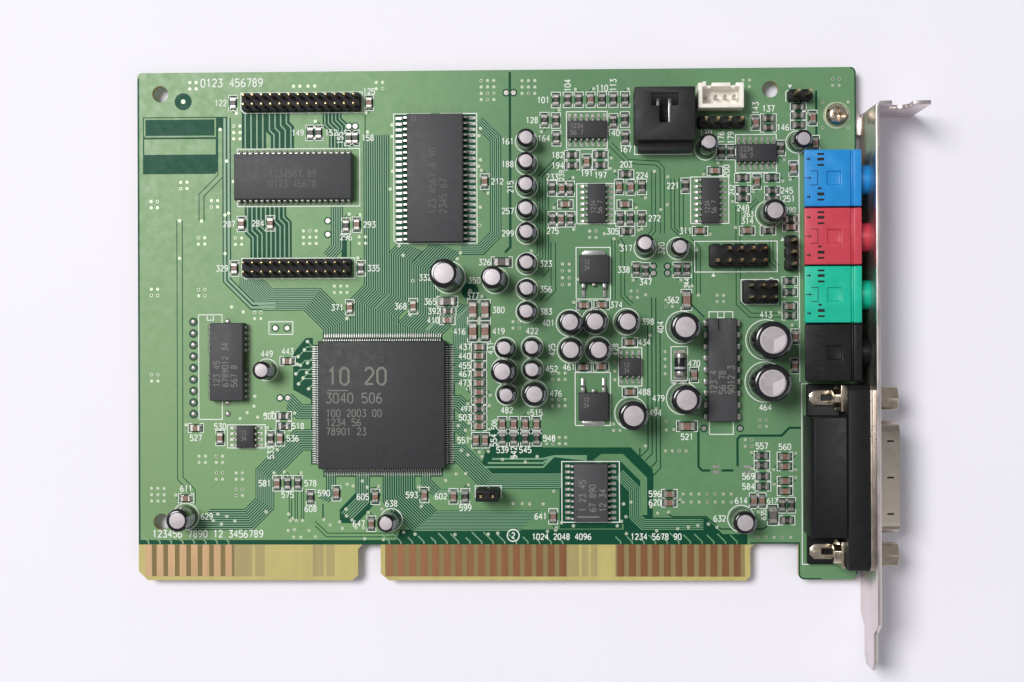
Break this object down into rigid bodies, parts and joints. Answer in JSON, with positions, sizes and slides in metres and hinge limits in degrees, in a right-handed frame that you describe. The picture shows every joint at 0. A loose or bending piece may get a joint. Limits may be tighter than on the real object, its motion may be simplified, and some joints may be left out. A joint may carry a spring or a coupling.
{
  "type": "isa sound card",
  "caption": "Computer sound card: green circuit board with a bus contact edge, surface-mounted chips, capacitors, coloured audio jacks, a joystick port and a metal slot bracket.",
  "frame": {"origin": "middle of the card's box, on the plane that it rests on", "axes": "+X to the slot bracket, +Y to the edge opposite the bus contacts, +Z out of the component side"},
  "size_m": [0.1706, 0.1298, 0.0184],
  "materials": {
    "board": "solder mask",
    "contact_copper": "worn plated copper",
    "bracket_steel": "nickel plated sheet",
    "screw_steel": "nickel plated",
    "black_plastic": "moulded",
    "blue_plastic": "moulded",
    "red_plastic": "moulded",
    "green_plastic": "moulded",
    "white_plastic": "moulded",
    "chip_plastic": "moulded epoxy",
    "tinned_lead": "tinned",
    "gold_pin": "plated",
    "can_sleeve": "shrink sleeve on aluminium can",
    "chip_ceramic": "ceramic",
    "resistor_black": "glazed",
    "diode_glass": "moulded"
  },
  "bodies": {
    "root": {"pcb": "board", "edge_contacts": "contact_copper", "bracket": "bracket_steel", "port_shell": "bracket_steel", "bracket_screw": "screw_steel", "jackscrews": "screw_steel", "port_board_locks": "screw_steel", "port_housing": "black_plastic", "jack_speaker": "black_plastic", "cd_socket": "black_plastic", "jumper_shunt": "black_plastic", "jumper_base": "black_plastic", "modem_header_base": "black_plastic", "speaker_header_base": "black_plastic", "microphone_header_base": "black_plastic", "telephone_header_base": "black_plastic", "beeper_header_base": "black_plastic", "upper_memory_header_base": "black_plastic", "lower_memory_header_base": "black_plastic", "jack_line_in": "blue_plastic", "jack_microphone": "red_plastic", "jack_line_out": "green_plastic", "aux_socket": "white_plastic", "main_chip_body": "chip_plastic", "sample_rom_body": "chip_plastic", "program_rom_body": "chip_plastic", "memory_chip_body": "chip_plastic", "bus_buffer_body": "chip_plastic", "mixer_chip_body": "chip_plastic", "op_amp_bodies": "chip_plastic", "small_chip_bodies": "chip_plastic", "power_amp_body": "chip_plastic", "regulator_bodies": "chip_plastic", "main_chip_leads": "tinned_lead", "sample_rom_leads": "tinned_lead", "program_rom_leads": "tinned_lead", "memory_chip_leads": "tinned_lead", "bus_buffer_leads": "tinned_lead", "mixer_chip_leads": "tinned_lead", "op_amp_leads": "tinned_lead", "small_chip_leads": "tinned_lead", "power_amp_leads": "tinned_lead", "regulator_metal_parts": "tinned_lead", "port_pin_tails": "tinned_lead", "jack_terminals": "tinned_lead", "memory_header_tails": "tinned_lead", "cd_socket_pins": "tinned_lead", "aux_socket_pins": "tinned_lead", "header_pins": "gold_pin", "memory_header_pins": "gold_pin", "small_capacitors": "can_sleeve", "medium_capacitors": "can_sleeve", "large_capacitors": "can_sleeve", "output_capacitors": "can_sleeve", "chip_capacitors": "chip_ceramic", "chip_inductors": "chip_ceramic", "chip_resistors": "resistor_black", "diode": "diode_glass"}
  },
  "joints": []
}
